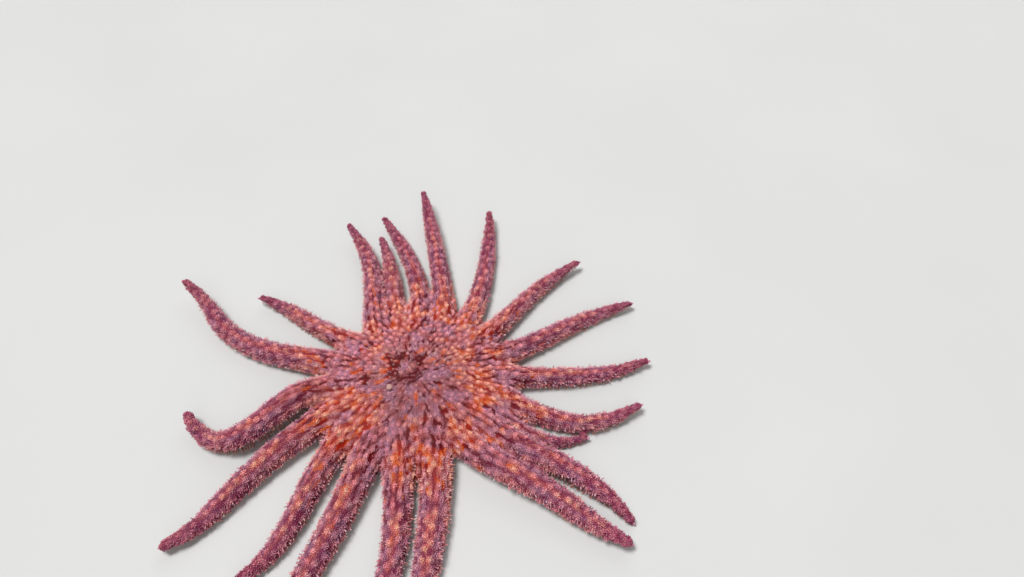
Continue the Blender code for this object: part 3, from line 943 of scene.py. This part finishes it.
def add_sieve_plate(material):
    """The madreporite: a small pale plate on the back, covered in fine winding grooves."""
    low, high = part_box("madreporite")
    up = Vector((0, 0, 0))
    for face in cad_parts["madreporite"].data.polygons:
        if face.normal.z > 0.8:
            up += face.normal * face.area
    up.normalize()
    radius = PLATE_SHARE * (high.x - low.x) / 2

    def top(far, turn):
        flat = np.stack([far * np.cos(turn), far * np.sin(turn), np.zeros(len(far))], 1)
        bent = flat + (noise(flat, 2.2 * MM, seed=51)[:, None] - 0.5) * 3 * MM
        winding = np.abs(np.sin(np.linalg.norm(bent, axis=1) / PLATE_WINDING + 3 * np.sin(turn * 4)))
        return PLATE_CROWN * (1 - (far / radius) ** 4) + PLATE_RELIEF * winding * (far < 0.97 * radius)

    points, faces = polar_plate(radius, 30, 96, top, -2 * MM)
    turn = Vector(UP).rotation_difference(up).to_matrix()
    centre = Vector(((low.x + high.x) / 2, (low.y + high.y) / 2, high.z - PLATE_CROWN))
    points = points @ np.array(turn).T + np.array(centre)
    piece = placed_mesh("sieve_plate", points, faces, material)
    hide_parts("madreporite")


def add_mouth(body, material):
    """The soft membrane round the mouth, folded towards its opening, with painted shade for the opening's
    dark and in the folds' hollows.
    """
    low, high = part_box("mouth")
    radius = (high.x - low.x) / 2

    def bulge(far, turn):
        near = far / radius
        folds = np.cos(turn * MOUTH_FOLDS) * 0.6 * MM * ramp(0.2, 0.5, near) * (1 - 0.7 * near)
        wrinkles = np.cos(far / (0.9 * MM)) * 0.15 * MM * ramp(0.25, 0.5, near)
        hole = 2.4 * MM * (1 - ramp(0.08, 0.3, near))
        return (high.z - low.z) * 0.75 * (1 - 0.3 * near**4) + folds + wrinkles - hole

    points, faces = polar_plate(radius, 40, 120, bulge, 0)
    near = np.linalg.norm(points[:, :2], axis=1) / radius
    fold = np.cos(np.arctan2(points[:, 1], points[:, 0]) * MOUTH_FOLDS)
    # Painted shade: the middle is dark for the mouth's opening, and each fold is darker in its hollow than on
    # its crest
    shade = mix(0.55, 0.85, 0.5 + 0.5 * fold) * mix(1, noise(points, 3 * MM, seed=52), 0.3)
    dark = np.tile(MOUTH_HOLE_SHADE, (len(points), 1))
    colours = mix(dark, np.array(ORAL) * shade[:, None], ramp(0.08, 0.36, near))
    points[:, :2] *= (1 + 0.03 * fold)[:, None]
    points = points * (1, -1, -1) + np.array((body.centre[0], body.centre[1], high.z))
    piece = placed_mesh("mouth_membrane", points, faces, material, colours)
    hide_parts("mouth")
    return radius


def add_mouth_spines(body, radius, rng, material):
    """Two spines from the foot of every arm, which reach in over the mouth."""
    paths = []
    for arm in body.arms:
        way = unit(arm.line[INWARD_STEPS] - body.centre)
        way = unit(way * (1, 1, 0))
        for turn in MOUTH_SPINE_TURNS:
            turn = turn + rng.uniform(-0.05, 0.05)
            c, s = math.cos(turn), math.sin(turn)
            out = np.array((way[0] * c - way[1] * s, way[0] * s + way[1] * c, 0))
            root = body.centre + out * radius * 1.02 + UP * 2.6 * MM
            aside = np.array((-out[1], out[0], 0)) * rng.uniform(-0.09, 0.09)
            end = body.centre + (out * rng.uniform(0.5, 0.8) + aside) * radius + UP * 0.8 * MM
            paths.append([root + (end - root) * k for k in (0, 0.4, 0.8, 1)])
    add_pegs("mouth_spines", paths, MOUTH_SPINE_RADII, 6, MOUTH_SPINE, material)


def add_tips(skin_tree, body, material):
    """The blunt end of every arm, with the red eyespot that looks out below it."""
    ends, spots = [], []
    for arm in body.arms:
        tip = arm.line[-1] + UP * 1.2 * MM
        ahead = unit(arm.forward[-1] + UP * 0.25)
        found, _, _, _ = skin_tree.find_nearest(Vector(tip + ahead * 3 * MM))
        found = np.array(found)
        ends.append([found + ahead * far for far in np.array((-2.0, -0.6, 0.8, 1.8, 2.3)) * MM])
        spots.append([found + ahead * (0.9 + k) * MM - UP * 1.1 * MM for k in (-0.5, 0.1, 0.6, 0.8)])
    add_pegs("arm_tips", ends, TIP_RADII, 10, ARM_END, material)
    add_pegs("eyespots", spots, EYE_RADII, 10, EYE, material)


# Materials

WET_SPREAD = 0.12  # either way from a material's roughness
CHALK = ((0.35, (0.34, 0.15, 0.13)), (0.6, (0.62, 0.40, 0.34)))
FLOOR_GREY = ((0, (0.49, 0.49, 0.48)), (1, (0.53, 0.53, 0.52)))


def new_material(name, roughness, subsurface, reach):
    """A Principled material, its nodes and shader, and a link from the place on the object."""
    material = bpy.data.materials.new(name)
    material.use_nodes = True
    tree = material.node_tree
    shader = tree.nodes["Principled BSDF"]
    shader.inputs["Roughness"].default_value = roughness
    shader.inputs["Subsurface Weight"].default_value = subsurface
    shader.inputs["Subsurface Radius"].default_value = (1.0, 0.35, 0.25)
    shader.inputs["Subsurface Scale"].default_value = reach
    return material, tree, shader, [(add_node(tree, "ShaderNodeTexCoord").outputs["Object"], "Vector")]


def add_node(tree, kind, links=(), **values):
    """A node with these settings and input values; links are (output, the node's input) pairs."""
    node = tree.nodes.new(kind)
    for name, value in values.items():
        if hasattr(node, name):
            setattr(node, name, value)
        else:
            node.inputs[name.replace("_", " ").title()].default_value = value
    for output, name in links:
        tree.links.new(output, node.inputs[name])
    return node


def painted_material(name, roughness, subsurface, grain, bump, specular):
    """A material that takes its colour from the markings, with a fine mottle, grain and bumps."""
    material, tree, shader, place = new_material(name, roughness, subsurface, 2.5 * MM)
    shader.inputs["Specular IOR Level"].default_value = specular
    marks = add_node(tree, "ShaderNodeAttribute", attribute_name="Markings")
    mottle = add_node(tree, "ShaderNodeTexNoise", place, Scale=1 / grain, Detail=3.0)
    cloud = [(mottle.outputs["Fac"], "Value")]
    shade = add_node(tree, "ShaderNodeMapRange", cloud, From_Min=0.3, From_Max=0.7, To_Min=0.8, To_Max=1.18)
    both = [(marks.outputs["Color"], "A"), (shade.outputs["Result"], "B")]
    tint = add_node(tree, "ShaderNodeMix", both, data_type="RGBA", blend_type="MULTIPLY", Factor=1.0)
    pores = add_node(tree, "ShaderNodeTexVoronoi", place, Scale=0.8 / grain)
    height = [(pores.outputs["Distance"], "Height")]
    relief = add_node(tree, "ShaderNodeBump", height, Strength=bump, Distance=0.3 * MM)
    low, high = roughness - WET_SPREAD, roughness + WET_SPREAD
    wet = add_node(tree, "ShaderNodeMapRange", cloud, To_Min=low, To_Max=high)
    tree.links.new(tint.outputs["Result"], shader.inputs["Base Color"])
    tree.links.new(relief.outputs["Normal"], shader.inputs["Normal"])
    tree.links.new(wet.outputs["Result"], shader.inputs["Roughness"])
    return material


def mottled_material(name, roughness, scale, stops):
    """A matt material whose colour changes with noise, between two (level, colour) stops."""
    material, tree, shader, place = new_material(name, roughness, 0.0, MM)
    cloud = add_node(tree, "ShaderNodeTexNoise", place, Scale=scale)
    tone = add_node(tree, "ShaderNodeValToRGB", [(cloud.outputs["Fac"], "Fac")])
    for element, (level, colour) in zip(tone.color_ramp.elements, stops):
        element.position = level
        element.color = (*colour, 1)
    tree.links.new(tone.outputs["Color"], shader.inputs["Base Color"])
    return material


# Stage


def add_camera(body):
    """The photograph's viewing angle: from the front, looking down at 51 degrees."""
    data = bpy.data.cameras.new("camera")
    data.lens = 24
    data.sensor_width = 36
    camera = new_object("camera", data)
    camera.location = Vector(body.centre) + Vector(CAMERA_OFFSET)
    camera.rotation_euler = (math.radians(90 - CAMERA_PITCH), 0, 0)
    bpy.context.scene.camera = camera


def add_floor():
    """A plain pale floor with a faint mottle."""
    mesh = bpy.data.meshes.new("floor")
    half = FLOOR_SIZE / 2
    corners = [(-half, -half, 0), (half, -half, 0), (half, half, 0), (-half, half, 0)]
    mesh.from_pydata(corners, [], [(0, 1, 2, 3)])
    mesh.materials.append(mottled_material("pale_floor", 0.7, 3.0, FLOOR_GREY))
    floor = new_object("floor", mesh)


def light_the_scene():
    """Wide soft lights, and walls that fade from the floor's own grey to a dimmer ceiling."""
    world = bpy.data.worlds.new("studio")
    bpy.context.scene.world = world
    world.use_nodes = True
    tree = world.node_tree
    background = tree.nodes["Background"]
    background.inputs["Color"].default_value = (0.97, 0.98, 1.0, 1)
    way = [(add_node(tree, "ShaderNodeTexCoord").outputs["Generated"], "Vector")]
    up = [(add_node(tree, "ShaderNodeSeparateXYZ", way).outputs["Z"], "Value")]
    fade = add_node(tree, "ShaderNodeMapRange", up, From_Max=WALL_HEIGHT, To_Min=SKY_LOW, To_Max=SKY_HIGH)
    tree.links.new(fade.outputs["Result"], background.inputs["Strength"])
    for name, source, width, strength in LIGHTS:
        data = bpy.data.lights.new(name, "SUN")
        data.angle = math.radians(width)
        data.energy = strength
        light = new_object(name, data)
        light.location = source
        light.rotation_euler = (-Vector(source)).to_track_quat("-Z", "Y").to_euler()


# The whole model


def round_and_sink(mesh, body):
    """Smooths the solids' facets away from the skin, and sinks it by the coat's depth."""
    pairs = read(mesh.edges, "vertices", 2, np.int64)
    places = body.locate(*surface(mesh))
    grown = ramp(0, TIP_REACH, places.to_tip)[:, None]
    points = relaxed(places.at, pairs, FACET_ROUNDS, 0.5 * (0.2 + 0.8 * grown))
    set_coordinates(mesh, points)
    depth = mix(COAT_DEPTH, SOLE_DEPTH, places.under)[:, None] * (0.85 + 0.15 * grown)
    points = points - surface(mesh)[1] * depth
    set_coordinates(mesh, relaxed(points, pairs, 3, 0.4 * grown))


def mark_and_raise(mesh, body, seats):
    """Paints the skin, dark where the coat is thin and with painted shade under a thick coat, and raises a
    bump at every spine of the back.
    """
    places = body.locate(*surface(mesh))
    marks = markings(places, body, seats)
    set_coordinates(mesh, places.at + places.normal * (marks.bump * BUMP_HEIGHT)[:, None])
    # Painted shade: under a thick coat the skin takes half the coat's colour, as the shade between the gills
    paint(mesh, mix(marks.deep, marks.root * 0.5, ramp(0.4, 0.9, marks.cover)))
    mesh.shade_smooth()


def main():
    nodes = [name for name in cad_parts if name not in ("mouth", "madreporite")]
    skin = fused_solids(nodes)
    tree = BVHTree.FromObject(skin, bpy.context.evaluated_depsgraph_get())
    body = Body(tree)
    add_camera(body)
    add_floor()
    light_the_scene()
    bpy.context.scene.view_settings.view_transform = "Standard"
    rng = np.random.default_rng(SEED)

    round_and_sink(skin.data, body)
    seats = spine_seats(skin.data, body, rng)
    mark_and_raise(skin.data, body, seats)
    skin.data.materials.append(painted_material("skin", 0.5, 0.1, 1.6 * MM, 0.5, 0.1))
    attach(skin, "root")
    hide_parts(*nodes)

    tree = BVHTree.FromObject(skin, bpy.context.evaluated_depsgraph_get())
    soft = painted_material("soft_gills", 0.45, 0.15, 2 * MM, 0.1, 0.2)
    firm = painted_material("pale_spines", 0.4, 0.25, 1.2 * MM, 0.15, 0.4)
    feet = painted_material("tube_feet", 0.35, 0.35, 1.5 * MM, 0.1, 0.4)
    add_papulae(skin.data, body, seats, rng, soft)
    add_wreaths(tree, body, seats, rng, soft)
    add_back_spines(body, seats, rng, firm)
    add_side_spines(tree, body, seats, rng, firm)
    add_sole_spines(skin.data, body, seats, rng, firm)
    add_tube_feet(body, rng, feet)
    add_sieve_plate(mottled_material("chalky_plate", 0.75, 900.0, CHALK))
    mouth_radius = add_mouth(body, painted_material("mouth", 0.4, 0.3, 2 * MM, 0.3, 0.4))
    add_mouth_spines(body, mouth_radius, rng, firm)
    add_tips(tree, body, firm)


main()
